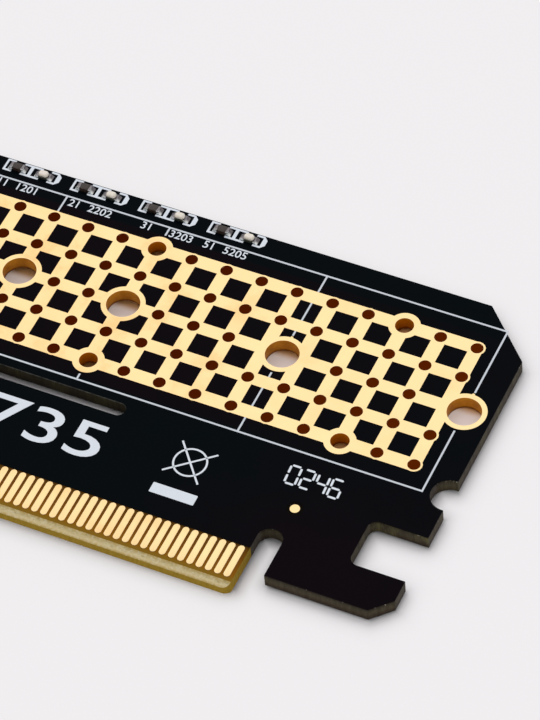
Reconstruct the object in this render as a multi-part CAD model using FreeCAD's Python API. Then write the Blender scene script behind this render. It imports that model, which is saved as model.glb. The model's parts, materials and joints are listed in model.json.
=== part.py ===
import FreeCAD
import Part
import math
import os

# Adapter card that seats one M.2 drive in a sixteen-lane expansion slot.
#
# Frame: the origin lies on the bottom edge of the board, at the middle of the key slot
# and half way through the laminate. +X runs along the card towards its free end, +Y runs
# up, out of the slot, and +Z comes out of the component face. Sizes are in millimetres.

# Layers of the board
core_thickness = 1.50
copper_thickness = 0.04
mask_thickness = 0.03
print_thickness = 0.02

# Board outline
board_left = 57.15
board_right = 87.87
board_top = 42.29
top_chamfer = 5.65
shoulder_height = 8.14
edge_notch_radius = 1.9
edge_notch_height = 18.34
edge_notch_inset = 0.17

# Hook at the free end, and the gap that the slot's retainer reaches into
hook_left = 74.92
hook_bottom = 2.69
hook_top = 7.17
hook_chamfer = 2.0
retainer_gap_depth = 6.07
retainer_gap_top = 12.79
inner_corner_radius = 0.95
relief_corner_radius = 1.25

# Edge connector
contact_pitch = 1.0
contact_width = 0.70
contact_length = 3.97
contact_start = 1.2
contacts_before_key = 11
contacts_after_key = 71
key_width = 1.9
key_to_contact = 1.5
key_depth = 8.14
end_margin = 0.75
tongue_corner_radius = 0.8
bevel_height = 0.8
bevel_depth = 0.3
bare_edge_height = 5.23

# Drive position: where the drive's own edge stops, and its centreline
drive_start = 4.98
drive_axis_height = 28.57
standoff_distances = (30.0, 42.0, 60.0, 80.0)
standoff_hole_radius = 1.78
standoff_pad_radius = 2.32
standoff_pad_spur_width = 0.26
standoff_pad_spur_height = 0.15
plating_thickness = 0.05

# Screw holes for a heat sink, in pairs beside the drive
heatsink_hole_distances = (14.0, 42.0, 70.0)
heatsink_hole_spacing = 16.06
heatsink_hole_radius = 0.98
heatsink_pad_radius = 1.66

# Bare gold grid under the drive
grid_pitch = 4.0
grid_line_width = 1.49
grid_side_margin = 0.68
grid_end_margin = 0.82
grid_columns = 18
grid_rows = 5
grid_first_column = 10.0
via_radius = 0.665
via_sides = 8
via_pad_radius = 0.88
via_pad_sides = 16

# Long slit below the grid
slit_start = 8.28
slit_end = 48.43
slit_width = 1.65
slit_axis_drop = 12.61

# Alignment mark
mark_x = 74.33
mark_height = 11.19
mark_radius = 0.51
mark_clearance = 0.36

# Printed outline of the drive
print_line_width = 0.2
print_outline_length = 80.05
print_outline_above = 11.14
print_outline_below = 10.73
print_pad_clearance = 0.27
print_socket_gap = 0.6

# Indicator lamps and their resistors, in four pairs along the top edge
lamp_count = 4
lamp_pitch = 8.0
lamp_first_x = 31.4
lamp_to_resistor = 3.1
lamp_row_inset = 1.03
chip_length = 1.6
chip_width = 0.8
resistor_height = 0.5
end_cap_length = 0.32
lamp_base_height = 0.28
lamp_lens_height = 0.42
lamp_lens_length = 1.2
lamp_lens_taper = 0.12

# Decoupling capacitors behind the socket
capacitor_count = 4
capacitor_pitch = 5.2
capacitor_setback = 10.0
capacitor_length = 2.0
capacitor_width = 1.25
capacitor_height = 1.1
capacitor_cap_length = 0.45

# Drive socket
socket_length = 21.9
socket_rear = 4.9
socket_front = 2.4
socket_lip = 1.3
socket_height = 4.2
slot_floor_height = 2.3
slot_opening = 1.3
slot_depth = 4.7
slot_end_wall = 0.95
socket_contact_pitch = 0.5
socket_positions = 38
socket_key_first = 29
socket_key_count = 4
socket_contact_width = 0.2
socket_contact_thickness = 0.16
socket_foot_length = 0.9
hold_down_width = 1.4
hold_down_thickness = 0.2
hold_down_foot = 0.8
hold_down_height = 1.6

# Low-profile bracket: a folded sheet at the left end of the board
sheet_thickness = 0.86
bracket_face = 59.05
bracket_width = 18.42
bracket_height = 79.2
bracket_below_edge = 7.5
bracket_below_face = 4.1
bend_radius = 0.5
ear_depth = 11.43
ear_slot_width = 4.42
ear_slot_depth = 5.2
ear_slot_setback = 4.5
tongue_width = 10.2
tongue_height = 9.0
tongue_taper = 4.1
tab_width = 7.4
tab_reach = 7.6
tab_edge_distance = 5.4
tab_window_margin = 0.4

# Two screws that hold the board to the bracket's tabs
screw_radius = 1.5
screw_hole_radius = 1.7
screw_head_radius = 2.8
screw_head_height = 1.8
screw_head_chamfer = 0.6
screw_end_length = 0.7
recess_width = 0.6
recess_length = 2.9
recess_depth = 1.0
screw_setback = 3.8

# Levels and places that follow from the sizes above
front = core_thickness / 2
back = -front
mask_front = front + mask_thickness
mask_back = back - mask_thickness
copper_front = front + copper_thickness
copper_back = back - copper_thickness
tongue_left = -(key_to_contact + (contacts_before_key - 1) * contact_pitch + end_margin)
tongue_right = key_to_contact + (contacts_after_key - 1) * contact_pitch + end_margin
retainer_gap_left = board_right - retainer_gap_depth
grid_left = drive_start + grid_first_column
grid_right = grid_left + (grid_columns - 1) * grid_pitch
grid_bottom = drive_axis_height - (grid_rows - 1) * grid_pitch / 2
grid_top = drive_axis_height + (grid_rows - 1) * grid_pitch / 2
lamp_height = board_top - lamp_row_inset
bracket_low = mask_front - bracket_below_face
screw_x = -board_left + screw_setback
screw_heights = (shoulder_height + tab_edge_distance, board_top - tab_edge_distance)

Z_AXIS = FreeCAD.Vector(0, 0, 1)


def box(x0, x1, y0, y1, z0, z1):
    """A box between two corners."""
    return Part.makeBox(x1 - x0, y1 - y0, z1 - z0, FreeCAD.Vector(x0, y0, z0))


def disc(x, y, radius, z0, z1):
    """A cylinder that stands between two levels."""
    return Part.makeCylinder(radius, z1 - z0, FreeCAD.Vector(x, y, z0), Z_AXIS)


def prism(x, y, radius, sides, z0, z1):
    """A many-sided prism, for what repeats so often that round walls would need too many faces."""
    angles = [2 * math.pi * n / sides for n in range(sides)]
    corners = [(x + radius * math.cos(angle), y + radius * math.sin(angle), 0.0) for angle in angles]
    return flat_plate(corners, z0, z1)


def moved(shape, x=0.0, y=0.0, z=0.0):
    """A copy of a shape, shifted."""
    copy = shape.copy()
    copy.translate(FreeCAD.Vector(x, y, z))
    return copy


def corner_arc(before, corner, after, radius):
    """End points and middle of the arc that rounds a corner, kept inside its two sides."""
    to_before = before - corner
    to_after = after - corner
    half_angle = to_before.getAngle(to_after) / 2
    room = 0.49 * min(to_before.Length, to_after.Length)
    reach = min(radius / math.tan(half_angle), room)
    to_before.normalize()
    to_after.normalize()
    start = corner + to_before * reach
    end = corner + to_after * reach
    bisector = (to_before + to_after).normalize()
    arc_radius = reach * math.tan(half_angle)
    middle = corner + bisector * (arc_radius / math.sin(half_angle) - arc_radius)
    return start, middle, end


def rounded_face(corners):
    """A flat face through corners given as (point, radius), each rounded by its radius."""
    points = [point for point, radius in corners]
    edges = []
    stretch_starts = []
    stretch_ends = []
    arcs = []
    count = len(corners)
    for index, (point, radius) in enumerate(corners):
        if radius > 0:
            start, middle, end = corner_arc(points[index - 1], point, points[(index + 1) % count], radius)
            arcs.append(Part.Arc(start, middle, end).toShape())
        else:
            start = point
            end = point
            arcs.append(None)
        stretch_ends.append(start)
        stretch_starts.append(end)
    for index in range(count):
        if arcs[index]:
            edges.append(arcs[index])
        edges.append(Part.makeLine(stretch_starts[index], stretch_ends[(index + 1) % count]))
    return Part.Face(Part.Wire(edges))


def flat_plate(corners, z0, z1):
    """A plate between two levels from (x, y, radius) corners."""
    face = rounded_face([(FreeCAD.Vector(x, y, z0), radius) for x, y, radius in corners])
    return face.extrude(FreeCAD.Vector(0, 0, z1 - z0))


def standoff_centres():
    """Centres of the holes for the drive's standoff, one for each drive length."""
    return [(drive_start + distance, drive_axis_height) for distance in standoff_distances]


def heatsink_centres():
    """Centres of the heat sink's screw holes."""
    centres = []
    for distance in heatsink_hole_distances:
        for side in (-0.5, 0.5):
            centres.append((drive_start + distance, drive_axis_height + side * heatsink_hole_spacing))
    return centres


def screw_centres():
    """Centres of the holes for the bracket's screws."""
    return [(screw_x, height) for height in screw_heights]


def via_centres():
    """Grid crossings that carry a via: all but those that a larger hole's pad reaches."""
    pads = [(x, y, standoff_pad_radius) for x, y in standoff_centres()]
    pads += [(x, y, heatsink_pad_radius) for x, y in heatsink_centres()]
    centres = []
    for column in range(grid_columns):
        for row in range(grid_rows):
            x = grid_left + column * grid_pitch
            y = grid_bottom + row * grid_pitch
            if all(math.hypot(x - px, y - py) > radius + via_radius for px, py, radius in pads):
                centres.append((x, y))
    return centres


def board_plate(z0, z1):
    """The board's outline with its drilled holes and its slit, between two levels."""
    corners = [
        (-board_left, shoulder_height, 0.0),
        (tongue_left, shoulder_height, inner_corner_radius),
        (tongue_left, 0.0, tongue_corner_radius),
        (tongue_right, 0.0, tongue_corner_radius),
        (tongue_right, shoulder_height, relief_corner_radius),
        (hook_left, shoulder_height, relief_corner_radius),
        (hook_left, hook_bottom, 0.0),
        (board_right - hook_chamfer, hook_bottom, 0.0),
        (board_right, hook_bottom + hook_chamfer, 0.0),
        (board_right, hook_top, 0.0),
        (retainer_gap_left, hook_top, inner_corner_radius),
        (retainer_gap_left, retainer_gap_top, inner_corner_radius),
        (board_right, retainer_gap_top, 0.0),
        (board_right, board_top - top_chamfer, 0.0),
        (board_right - top_chamfer, board_top, 0.0),
        (-board_left, board_top, 0.0),
    ]
    plate = flat_plate(corners, z0, z1)
    cutters = [disc(board_right - edge_notch_inset, edge_notch_height, edge_notch_radius, z0, z1)]
    cutters.append(key_slot(z0, z1))
    cutters.append(slit(z0, z1))
    for x, y in standoff_centres():
        cutters.append(disc(x, y, standoff_hole_radius + plating_thickness, z0, z1))
    for x, y in heatsink_centres():
        cutters.append(disc(x, y, heatsink_hole_radius + plating_thickness, z0, z1))
    for x, y in screw_centres():
        cutters.append(disc(x, y, screw_hole_radius, z0, z1))
    return plate.cut(cutters)


def key_slot(z0, z1):
    """The round-ended slot between the two groups of contacts."""
    half = key_width / 2
    straight = box(-half, half, -bevel_height, key_depth - half, z0, z1)
    return straight.fuse(disc(0.0, key_depth - half, half, z0, z1))


def slit(z0, z1):
    """The long round-ended slit below the grid."""
    half = slit_width / 2
    left = drive_start + slit_start + half
    right = drive_start + slit_end - half
    axis = drive_axis_height - slit_axis_drop
    straight = box(left, right, axis - half, axis + half, z0, z1)
    return straight.fuse([disc(left, axis, half, z0, z1), disc(right, axis, half, z0, z1)])


def edge_bevel(side):
    """The wedge that thins one face of the board towards the bottom edge."""
    face = front * side
    corners = [
        FreeCAD.Vector(tongue_left, 0.0, face - bevel_depth * side),
        FreeCAD.Vector(tongue_left, bevel_height, face),
        FreeCAD.Vector(tongue_left, 0.0, face),
    ]
    wedge = Part.Face(Part.makePolygon(corners + corners[:1]))
    return wedge.extrude(FreeCAD.Vector(tongue_right - tongue_left, 0, 0))


def circuit_board():
    """The bare laminate."""
    return board_plate(back, front).cut([edge_bevel(1), edge_bevel(-1)])


def bare_edge(z0, z1):
    """The strip along the edge contacts that the solder mask leaves bare."""
    return box(tongue_left, tongue_right, 0.0, bare_edge_height, z0, z1)


def standoff_pad(x, y, z0, z1):
    """The ring's full disc, with the small spur on its upper side."""
    half = standoff_pad_spur_width / 2
    tip = y + standoff_pad_radius + standoff_pad_spur_height
    spur = box(x - half, x + half, y + standoff_hole_radius, tip, z0, z1)
    return disc(x, y, standoff_pad_radius, z0, z1).fuse(spur)


def grid_metal(z0, z1):
    """The grid with its pads before drilling: a plate with square windows, and the pads."""
    half = grid_line_width / 2
    left = grid_left - grid_side_margin
    right = grid_right + grid_side_margin
    low = grid_bottom - grid_end_margin
    high = grid_top + grid_end_margin
    rounding = grid_side_margin
    outline = [(left, low, rounding), (right, low, rounding), (right, high, rounding), (left, high, rounding)]
    plate = flat_plate(outline, z0, z1)
    window = grid_pitch - grid_line_width
    windows = []
    for column in range(grid_columns - 1):
        for row in range(grid_rows - 1):
            x = grid_left + column * grid_pitch + half
            y = grid_bottom + row * grid_pitch + half
            windows.append(box(x, x + window, y, y + window, z0, z1))
    pads = [standoff_pad(x, y, z0, z1) for x, y in standoff_centres()]
    pads += [disc(x, y, heatsink_pad_radius, z0, z1) for x, y in heatsink_centres()]
    for x, y in via_centres():
        on_side = min(x - grid_left, grid_right - x) < half
        on_end = min(y - grid_bottom, grid_top - y) < half
        if on_side or on_end:
            pads.append(prism(x, y, via_pad_radius, via_pad_sides, z0, z1))
    return plate.cut(windows).fuse(pads).removeSplitter()


def thermal_grid():
    """The bare gold grid on the component face, drilled through."""
    drills = [prism(x, y, via_radius, via_sides, front, copper_front) for x, y in via_centres()]
    for x, y in standoff_centres():
        drills.append(disc(x, y, standoff_hole_radius + plating_thickness, front, copper_front))
    for x, y in heatsink_centres():
        drills.append(disc(x, y, heatsink_hole_radius + plating_thickness, front, copper_front))
    return grid_metal(front, copper_front).cut(drills)


def front_solder_mask():
    """The black coat on the component face, with one square in each window of the grid."""
    coat = board_plate(front, mask_front)
    openings = [bare_edge(front, mask_front), grid_metal(front, mask_front)]
    openings.append(disc(mark_x, mark_height, mark_radius + mark_clearance, front, mask_front))
    return coat.cut(openings)


def back_solder_mask():
    """The black coat on the other face."""
    coat = board_plate(mask_back, back)
    openings = [bare_edge(mask_back, back)]
    for x, y in standoff_centres():
        openings.append(disc(x, y, standoff_pad_radius, mask_back, back))
    for x, y in heatsink_centres():
        openings.append(disc(x, y, heatsink_pad_radius, mask_back, back))
    return coat.cut(openings)


def plated_hole(x, y, radius, pad_radius):
    """A hole's metal lining, with its ring on the back of the board."""
    lining = disc(x, y, radius + plating_thickness, copper_back, copper_front)
    ring = disc(x, y, pad_radius, copper_back, back)
    return lining.fuse(ring).cut(disc(x, y, radius, copper_back, copper_front)).removeSplitter()


def standoff_hole_linings():
    """Linings of the holes for the drive's standoff."""
    return [plated_hole(x, y, standoff_hole_radius, standoff_pad_radius) for x, y in standoff_centres()]


def heatsink_hole_linings():
    """Linings of the heat sink's screw holes."""
    return [plated_hole(x, y, heatsink_hole_radius, heatsink_pad_radius) for x, y in heatsink_centres()]


def edge_contacts(z0, z1):
    """One face's row of flat contacts, on both sides of the key slot."""
    half = contact_width / 2
    contact = box(-half, half, contact_start, contact_start + contact_length, z0, z1)
    row = [moved(contact, x=-(key_to_contact + n * contact_pitch)) for n in range(contacts_before_key)]
    row += [moved(contact, x=key_to_contact + n * contact_pitch) for n in range(contacts_after_key)]
    return row


def front_edge_contacts():
    return edge_contacts(front, copper_front)


def back_edge_contacts():
    return edge_contacts(copper_back, back)


def alignment_mark():
    """The small gold disc that placing machines look for."""
    return disc(mark_x, mark_height, mark_radius, front, copper_front)


def drive_outline_print():
    """White printed lines: the drive's outline, and a cross line at each shorter length."""
    half = print_line_width / 2
    top = mask_front + print_thickness
    low = drive_axis_height - print_outline_below
    high = drive_axis_height + print_outline_above
    end = drive_start + print_outline_length
    start = drive_start + socket_front + socket_lip + print_socket_gap
    lines = [
        box(start, end + half, low - half, low + half, mask_front, top),
        box(start, end + half, high - half, high + half, mask_front, top),
        box(end - half, end + half, low, high, mask_front, top),
    ]
    for distance in standoff_distances[:-1]:
        x = drive_start + distance
        lines.append(box(x - half, x + half, low, high, mask_front, top))
    metal = grid_metal(mask_front, top)
    gaps = [disc(x, y, standoff_pad_radius + print_pad_clearance, mask_front, top)
            for x, y in standoff_centres()]
    gaps += [disc(x, y, heatsink_pad_radius + print_pad_clearance, mask_front, top)
             for x, y in heatsink_centres()]
    return lines[0].fuse(lines[1:]).removeSplitter().cut([metal] + gaps)


def chip_body(length, width, height, cap_length):
    """The middle of a chip part, between its end caps, centred over the origin."""
    half = length / 2 - cap_length
    return box(-half, half, -width / 2, width / 2, 0.0, height)


def chip_caps(length, width, height, cap_length):
    """The two metal end caps of a chip part."""
    caps = []
    for side in (-1, 1):
        outer = side * length / 2
        inner = side * (length / 2 - cap_length)
        caps.append(box(min(outer, inner), max(outer, inner), -width / 2, width / 2, 0.0, height))
    return caps


def resistor_places():
    """Centres of the four lamp resistors."""
    return [(lamp_first_x - lamp_to_resistor + n * lamp_pitch, lamp_height) for n in range(lamp_count)]


def lamp_places():
    """Centres of the four indicator lamps."""
    return [(lamp_first_x + n * lamp_pitch, lamp_height) for n in range(lamp_count)]


def capacitor_places():
    """Centres of the capacitors, in a column behind the drive socket."""
    x = drive_start - capacitor_setback
    middle = (capacitor_count - 1) / 2
    return [(x, drive_axis_height + (n - middle) * capacitor_pitch) for n in range(capacitor_count)]


def placed(shapes, places):
    """Copies of shapes on the component face, one set at each place."""
    return [moved(shape, x, y, mask_front) for x, y in places for shape in shapes]


def lamp_resistor_bodies():
    return placed([chip_body(chip_length, chip_width, resistor_height, end_cap_length)], resistor_places())


def lamp_resistor_caps():
    return placed(chip_caps(chip_length, chip_width, resistor_height, end_cap_length), resistor_places())


def lamp_bases():
    """The lamps' dark carriers, between their terminals."""
    return placed([chip_body(chip_length, chip_width, lamp_base_height, end_cap_length)], lamp_places())


def lamp_terminals():
    return placed(chip_caps(chip_length, chip_width, lamp_base_height, end_cap_length), lamp_places())


def lamp_lenses():
    """The lamps' clear blocks, drawn in towards the top."""
    half_length = lamp_lens_length / 2
    half_width = chip_width / 2
    sections = []
    for inset, level in ((0.0, lamp_base_height), (lamp_lens_taper, lamp_base_height + lamp_lens_height)):
        x = half_length - inset
        y = half_width - inset / 2
        ring = [(-x, -y), (x, -y), (x, y), (-x, y), (-x, -y)]
        sections.append(Part.makePolygon([FreeCAD.Vector(px, py, level) for px, py in ring]))
    return placed([Part.makeLoft(sections, True, True)], lamp_places())


def capacitor_bodies():
    shape = chip_body(capacitor_length, capacitor_width, capacitor_height, capacitor_cap_length)
    return placed([shape], capacitor_places())


def capacitor_caps():
    shapes = chip_caps(capacitor_length, capacitor_width, capacitor_height, capacitor_cap_length)
    return placed(shapes, capacitor_places())


def side_profile(points, y0, y1):
    """A shape of constant section in the X-Z plane, between two heights along the board."""
    corners = [FreeCAD.Vector(drive_start + x, y0, mask_front + z) for x, z in points]
    face = Part.Face(Part.makePolygon(corners + corners[:1]))
    return face.extrude(FreeCAD.Vector(0, y1 - y0, 0))


def socket_rows():
    """Heights of the socket's contacts: the upper row and the lower row, without the key."""
    first = drive_axis_height - (socket_positions - 1) * socket_contact_pitch / 2
    key = range(socket_key_first, socket_key_first + socket_key_count)
    upper = [first + n * socket_contact_pitch for n in range(socket_positions) if n not in key]
    lower = [first + (n + 0.5) * socket_contact_pitch for n in range(socket_positions - 1) if n not in key]
    return upper, lower


def upper_contact_profile():
    """A foot behind the socket, a riser up its rear face and a beam along the slot's roof."""
    t = socket_contact_thickness
    roof = slot_floor_height + slot_opening
    return [
        (-socket_rear - socket_foot_length, 0.0),
        (-socket_rear, 0.0),
        (-socket_rear, roof - t),
        (socket_front - slot_depth / 2, roof - t),
        (socket_front - slot_depth / 2, roof),
        (-socket_rear - t, roof),
        (-socket_rear - t, t),
        (-socket_rear - socket_foot_length, t),
    ]


def lower_contact_profile():
    """A foot in front of the socket, under its lip, and a beam along the slot's floor."""
    t = socket_contact_thickness
    lip = socket_front + socket_lip
    floor = slot_floor_height
    return [
        (socket_front - slot_depth / 2, 0.0),
        (lip + socket_foot_length, 0.0),
        (lip + socket_foot_length, t),
        (socket_front - slot_depth / 2 + t, t),
        (socket_front - slot_depth / 2 + t, floor),
        (socket_front, floor),
        (socket_front, floor + t),
        (socket_front - slot_depth / 2, floor + t),
    ]


def contact_row(profile, heights):
    """Copies of one contact at the given heights."""
    half = socket_contact_width / 2
    contact = side_profile(profile, -half, half)
    return [moved(contact, y=height) for height in heights]


def socket_upper_contacts():
    return contact_row(upper_contact_profile(), socket_rows()[0])


def socket_lower_contacts():
    return contact_row(lower_contact_profile(), socket_rows()[1])


def socket_housing():
    """The moulded housing: a body with a lip, a keyed slot for the drive, and contact channels."""
    low = drive_axis_height - socket_length / 2
    high = drive_axis_height + socket_length / 2
    roof = slot_floor_height + slot_opening
    outline = [
        (-socket_rear, 0.0),
        (socket_front + socket_lip, 0.0),
        (socket_front + socket_lip, slot_floor_height - socket_lip / 2),
        (socket_front, slot_floor_height),
        (socket_front, socket_height),
        (-socket_rear, socket_height),
    ]
    body = side_profile(outline, low, high)
    slot_outline = [
        (socket_front - slot_depth, slot_floor_height),
        (socket_front, slot_floor_height),
        (socket_front, roof + (socket_height - roof) / 2),
        (socket_front - slot_depth / 2, roof),
        (socket_front - slot_depth, roof),
    ]
    slot = side_profile(slot_outline, low + slot_end_wall, high - slot_end_wall)
    first = drive_axis_height - (socket_positions - 1) * socket_contact_pitch / 2
    key_low = first + (socket_key_first - 0.25) * socket_contact_pitch
    key_high = first + (socket_key_first + socket_key_count - 0.75) * socket_contact_pitch
    key_rib = side_profile(slot_outline, key_low, key_high)
    return body.cut(slot.cut(key_rib)).cut(socket_upper_contacts() + socket_lower_contacts())


def socket_hold_downs():
    """Solder tabs at the socket's two ends."""
    pieces = []
    middle = drive_start + (socket_front - socket_rear) / 2
    x0 = middle - hold_down_width / 2
    x1 = middle + hold_down_width / 2
    for side in (-1, 1):
        wall = drive_axis_height + side * socket_length / 2
        upright = sorted((wall, wall + side * hold_down_thickness))
        foot = sorted((wall, wall + side * (hold_down_thickness + hold_down_foot)))
        plate = box(x0, x1, upright[0], upright[1], mask_front, mask_front + hold_down_height)
        base = box(x0, x1, foot[0], foot[1], mask_front, mask_front + hold_down_thickness)
        pieces.append(plate.fuse(base).removeSplitter())
    return pieces


def bracket_sheet():
    """The bracket's panel and its ear: one sheet with a bend, drawn as its side profile."""
    outer = -bracket_face
    inner = outer + sheet_thickness
    bottom = -bracket_below_edge
    top = bottom + bracket_height
    corners = [
        (inner, bottom, 0.0),
        (inner, top, bend_radius + sheet_thickness),
        (inner - ear_depth, top, 0.0),
        (inner - ear_depth, top - sheet_thickness, 0.0),
        (outer, top - sheet_thickness, bend_radius),
        (outer, bottom, 0.0),
    ]
    return flat_plate(corners, bracket_low, bracket_low + bracket_width)


def bracket_tongue_waste():
    """What is trimmed from the panel's lower end to leave its tapered tongue."""
    bottom = -bracket_below_edge
    side = (bracket_width - tongue_width) / 2
    x0 = -bracket_face
    pieces = []
    for low, direction in ((bracket_low, 1), (bracket_low + bracket_width, -1)):
        corners = [
            FreeCAD.Vector(x0, bottom, low),
            FreeCAD.Vector(x0, bottom, low + direction * (side + tongue_taper / 4)),
            FreeCAD.Vector(x0, bottom + tongue_taper / 4, low + direction * side),
            FreeCAD.Vector(x0, bottom + tongue_height, low + direction * side),
            FreeCAD.Vector(x0, bottom + tongue_height + tongue_taper, low),
        ]
        trim = Part.Face(Part.makePolygon(corners + corners[:1]))
        pieces.append(trim.extrude(FreeCAD.Vector(sheet_thickness, 0, 0)))
    return pieces


def ear_slot():
    """The slot for the chassis screw, open to the ear's upper side."""
    top = bracket_height - bracket_below_edge
    half = ear_slot_width / 2
    x = -bracket_face - ear_slot_setback
    edge = bracket_low + bracket_width
    end = edge - ear_slot_depth + half
    round_end = Part.makeCylinder(half, sheet_thickness, FreeCAD.Vector(x, top - sheet_thickness, end),
                                  FreeCAD.Vector(0, 1, 0))
    straight = box(x - half, x + half, top - sheet_thickness, top, end, edge)
    return round_end.fuse(straight)


def bracket_tab(height):
    """A tab folded out of the panel, under the board, with its tapped hole."""
    x0 = -bracket_face
    x1 = -board_left + tab_reach
    half = tab_width / 2
    corners = [
        (x0, height - half, 0.0),
        (x1, height - half, inner_corner_radius),
        (x1, height + half, inner_corner_radius),
        (x0, height + half, 0.0),
    ]
    tab = flat_plate(corners, mask_back - sheet_thickness, mask_back)
    return tab.cut(disc(screw_x, height, screw_radius, mask_back - sheet_thickness, mask_back))


def tab_window(height):
    """The hole that a tab leaves in the panel."""
    half = tab_width / 2 + tab_window_margin
    length = tab_reach + bracket_face - board_left
    x0 = -bracket_face
    return box(x0, x0 + sheet_thickness, height - half, height + half, mask_back, mask_back + length)


def mounting_bracket():
    """The folded bracket: panel, ear, tongue and the two tabs under the board."""
    waste = bracket_tongue_waste() + [ear_slot()] + [tab_window(height) for height in screw_heights]
    sheet = bracket_sheet().cut(waste)
    return sheet.fuse([bracket_tab(height) for height in screw_heights]).removeSplitter()


def bracket_screws():
    """Two screws with cross recesses, their chamfered heads on the component face."""
    shank_end = mask_back - sheet_thickness - screw_end_length
    top = mask_front + screw_head_height
    profile = [
        (0.0, shank_end),
        (screw_radius, shank_end),
        (screw_radius, mask_front),
        (screw_head_radius, mask_front),
        (screw_head_radius, top - screw_head_chamfer),
        (screw_head_radius - screw_head_chamfer, top),
        (0.0, top),
    ]
    outline = [FreeCAD.Vector(x, 0, z) for x, z in profile]
    section = Part.Face(Part.makePolygon(outline + outline[:1]))
    blank = section.revolve(FreeCAD.Vector(0, 0, 0), Z_AXIS, 360)
    long_half = recess_length / 2
    half = recess_width / 2
    recess = [box(-long_half, long_half, -half, half, top - recess_depth, top)]
    recess.append(box(-half, half, -long_half, long_half, top - recess_depth, top))
    screw = blank.cut(recess)
    return [moved(screw, x, y) for x, y in screw_centres()]


NODES = {
    "circuit_board": circuit_board,
    "front_solder_mask": front_solder_mask,
    "back_solder_mask": back_solder_mask,
    "thermal_grid": thermal_grid,
    "standoff_hole_linings": standoff_hole_linings,
    "heatsink_hole_linings": heatsink_hole_linings,
    "front_edge_contacts": front_edge_contacts,
    "back_edge_contacts": back_edge_contacts,
    "alignment_mark": alignment_mark,
    "drive_outline_print": drive_outline_print,
    "lamp_resistor_bodies": lamp_resistor_bodies,
    "lamp_resistor_caps": lamp_resistor_caps,
    "lamp_bases": lamp_bases,
    "lamp_terminals": lamp_terminals,
    "lamp_lenses": lamp_lenses,
    "capacitor_bodies": capacitor_bodies,
    "capacitor_caps": capacitor_caps,
    "socket_housing": socket_housing,
    "socket_upper_contacts": socket_upper_contacts,
    "socket_lower_contacts": socket_lower_contacts,
    "socket_hold_downs": socket_hold_downs,
    "mounting_bracket": mounting_bracket,
    "bracket_screws": bracket_screws,
}


def main():
    os.makedirs("parts", exist_ok=True)
    for name, make in NODES.items():
        made = make()
        shape = Part.makeCompound(made) if isinstance(made, list) else made
        shape.exportStep(os.path.join("parts", name + ".step"))
        print(name, len(shape.Solids), "solids", round(shape.Volume, 3), "mm3", shape.isValid())


main()
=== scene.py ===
import json
import math

import bmesh
import bpy
from mathutils import Matrix, Vector


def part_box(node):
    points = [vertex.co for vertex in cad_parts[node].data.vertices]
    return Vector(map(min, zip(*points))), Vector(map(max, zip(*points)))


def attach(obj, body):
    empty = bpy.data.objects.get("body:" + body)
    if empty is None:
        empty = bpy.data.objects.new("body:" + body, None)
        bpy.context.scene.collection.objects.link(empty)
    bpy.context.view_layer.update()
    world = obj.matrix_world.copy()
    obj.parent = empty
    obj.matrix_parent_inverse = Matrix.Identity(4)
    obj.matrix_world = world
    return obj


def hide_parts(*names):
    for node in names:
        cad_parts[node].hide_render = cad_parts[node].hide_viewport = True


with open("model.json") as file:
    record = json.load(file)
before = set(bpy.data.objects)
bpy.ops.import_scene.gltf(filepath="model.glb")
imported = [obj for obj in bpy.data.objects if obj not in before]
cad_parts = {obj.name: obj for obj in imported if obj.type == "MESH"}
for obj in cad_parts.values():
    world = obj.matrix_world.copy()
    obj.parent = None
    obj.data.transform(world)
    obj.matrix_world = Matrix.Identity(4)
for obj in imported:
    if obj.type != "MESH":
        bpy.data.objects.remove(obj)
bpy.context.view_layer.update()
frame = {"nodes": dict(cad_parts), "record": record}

bl_info = {
    "name": "Drive adapter card",
    "version": (1, 0, 0),
    "blender": (4, 5, 0),
    "location": "3D View > Sidebar > Card",
    "description": "Finishes, print and small parts for a drive adapter card",
    "category": "Add Mesh",
}

MM = 0.001
BODY = "root"
CHIP_PAIRS = 4
TOUCH = 1e-7  # coordinates this close are the same

# Zones of the card
CORE = 1.5 * MM  # thickness of the laminate
CARD_SPAN = 90 * MM  # from the key slot to just past the free end
CARD_DEPTH = 45 * MM  # from the bottom edge to just past the top edge
BELOW_OUTLINE = 18.2 * MM
ABOVE_GRID = 38.5 * MM
SLIT_LOW, SLIT_HIGH, SLIT_END = 15.0 * MM, 17.0 * MM, 53.6 * MM
TONGUE_TOP = 8.0 * MM
BEVEL_HEIGHT = 0.8 * MM
MASK_TO_CONTACTS = 0.12 * MM
TONGUE_MARGIN = 0.9 * MM


# ---------------------------------------------------------------- places read from the frame

def mount(name):
    """One mount of the packed record."""
    return next(m for m in frame["record"]["mounts"] if m["name"] == name)


def pattern_holes(name):
    """Centres of a rectangular or inline hole pattern, as (x, y)."""
    made = mount(name)
    x, y = made["pos_m"][:2]
    half_x = made["dims"].get("spacing_x_mm", 0.0) * MM / 2
    half_y = made["dims"].get("spacing_y_mm", 0.0) * MM / 2
    return sorted({(x + i * half_x, y + j * half_y) for i in (-1, 1) for j in (-1, 1)})


def mask_level():
    """Height of the component face's solder mask."""
    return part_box("front_solder_mask")[1].z


def pair_centres(node):
    """Centres of the four chip parts that a node of end caps holds, left to right."""
    low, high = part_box(node)
    half = card_sizes().chip_length / 2
    step = (high.x - low.x - 2 * half) / (CHIP_PAIRS - 1)
    return [(low.x + half + n * step, (low.y + high.y) / 2) for n in range(CHIP_PAIRS)]


# ---------------------------------------------------------------- settings

def length(name, description, default, precision=5):
    """A setting in metres."""
    return bpy.props.FloatProperty(
        name=name, description=description, default=default, unit="LENGTH", precision=precision)


def count(name, description, default):
    """A setting that counts pieces."""
    return bpy.props.IntProperty(name=name, description=description, default=default)


def angle(name, description, degrees):
    """A setting that is an angle."""
    return bpy.props.FloatProperty(
        name=name, description=description, default=math.radians(degrees), unit="ROTATION")


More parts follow.
